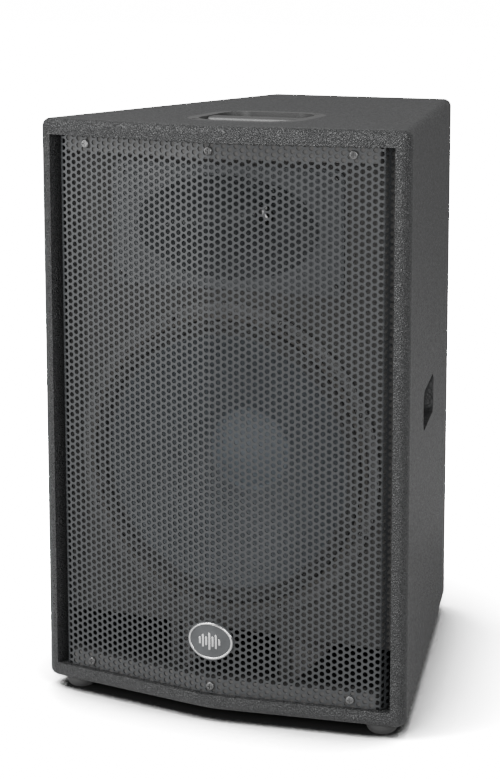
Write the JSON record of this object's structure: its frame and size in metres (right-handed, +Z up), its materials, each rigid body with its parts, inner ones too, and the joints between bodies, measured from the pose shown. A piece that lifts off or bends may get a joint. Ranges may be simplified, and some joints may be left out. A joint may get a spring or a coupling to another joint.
{
  "type": "pa speaker cabinet",
  "caption": "Trapezoid wooden loudspeaker cabinet with a bowed perforated grille over a woofer, horn and slot port, hand pockets, rubber feet and a rear terminal dish.",
  "frame": {"origin": "middle of the footprint, on the floor plane under the feet", "axes": "+Z up, the grille faces -Y, +X to the right as seen from the front"},
  "size_m": [0.4696, 0.5258, 0.714],
  "materials": {
    "painted_wood": "black textured paint over plywood",
    "bare_wood": "plywood, black washed",
    "grille_paint": "satin black powder coat",
    "black_screw": "black zinc",
    "badge_face": "satin dark grey",
    "badge_metal": "bright",
    "basket_paint": "satin black",
    "gasket": "black pressed board",
    "cone_paper": "ribbed black paper",
    "surround_cloth": "doped cloth",
    "former": "thin foil",
    "copper": "enamelled wire",
    "spider_cloth": "impregnated cloth",
    "plated_steel": "zinc plated",
    "ferrite": "sintered ferrite",
    "horn_plastic": "satin black moulding",
    "black_plastic": "fine textured moulding",
    "circuit_board": "solder mask",
    "capacitor_film": "plastic film",
    "ceramic": "ceramic",
    "lead_rubber": "soft insulation",
    "wadding": "polyester wadding",
    "foot_rubber": "moulded rubber",
    "pole_steel": "black powder coat"
  },
  "bodies": {
    "cabinet": {"top_panel": "painted_wood", "bottom_panel": "painted_wood", "right_side_panel": "painted_wood", "left_side_panel": "painted_wood", "back_panel": "painted_wood", "front_baffle": "bare_wood", "port_shelf": "bare_wood", "port_dividers": "bare_wood", "grille_rails": "bare_wood", "cross_brace": "bare_wood", "grille": "grille_paint", "grille_screws": "black_screw", "badge_plate": "badge_face", "badge_ring": "badge_metal", "woofer_basket": "basket_paint", "woofer_gasket": "gasket", "woofer_surround": "surround_cloth", "spider": "spider_cloth", "spider_seat": "basket_paint", "woofer_top_plate": "plated_steel", "woofer_magnet": "ferrite", "woofer_pole": "plated_steel", "woofer_terminals": "black_plastic", "woofer_bolts": "black_screw", "woofer_tee_nuts": "plated_steel", "horn": "horn_plastic", "horn_screws": "black_screw", "driver_body": "plated_steel", "driver_phase_plug": "black_plastic", "driver_magnet": "ferrite", "driver_rear_plate": "plated_steel", "driver_suspension": "black_plastic", "driver_clamp_ring": "former", "driver_cover": "black_plastic", "driver_bolts": "black_screw", "terminal_dish": "black_plastic", "terminal_screws": "black_screw", "twist_lock_sockets": "black_plastic", "jack_sockets": "plated_steel", "crossover_board": "circuit_board", "crossover_standoffs": "plated_steel", "crossover_screws": "plated_steel", "crossover_inductors": "copper", "crossover_capacitors": "capacitor_film", "crossover_resistors": "ceramic", "internal_leads": "lead_rubber", "top_handle": "black_plastic", "side_handle_cups": "black_plastic", "handle_screws": "black_screw", "pole_socket": "pole_steel", "pole_socket_screws": "black_screw", "rubber_feet": "foot_rubber", "foot_screws": "black_screw", "back_lining": "wadding", "side_lining": "wadding"},
    "woofer_moving_parts": {"woofer_cone": "cone_paper", "woofer_dust_cap": "cone_paper", "voice_coil_former": "former", "voice_coil": "copper"},
    "driver_moving_parts": {"driver_diaphragm": "former"}
  },
  "joints": [
    {"name": "cone_travel", "type": "slide", "parent": "cabinet", "child": "woofer_moving_parts", "axis": [0, -1, 0], "range_m": [-0.005, 0.005], "stiffness_N_per_m": 4000, "deforming": ["woofer_surround", "spider"]},
    {"name": "diaphragm_travel", "type": "slide", "parent": "cabinet", "child": "driver_moving_parts", "axis": [0, -1, 0], "range_m": [-0.0004, 0.0004], "stiffness_N_per_m": 9000, "deforming": ["driver_suspension"]}
  ]
}
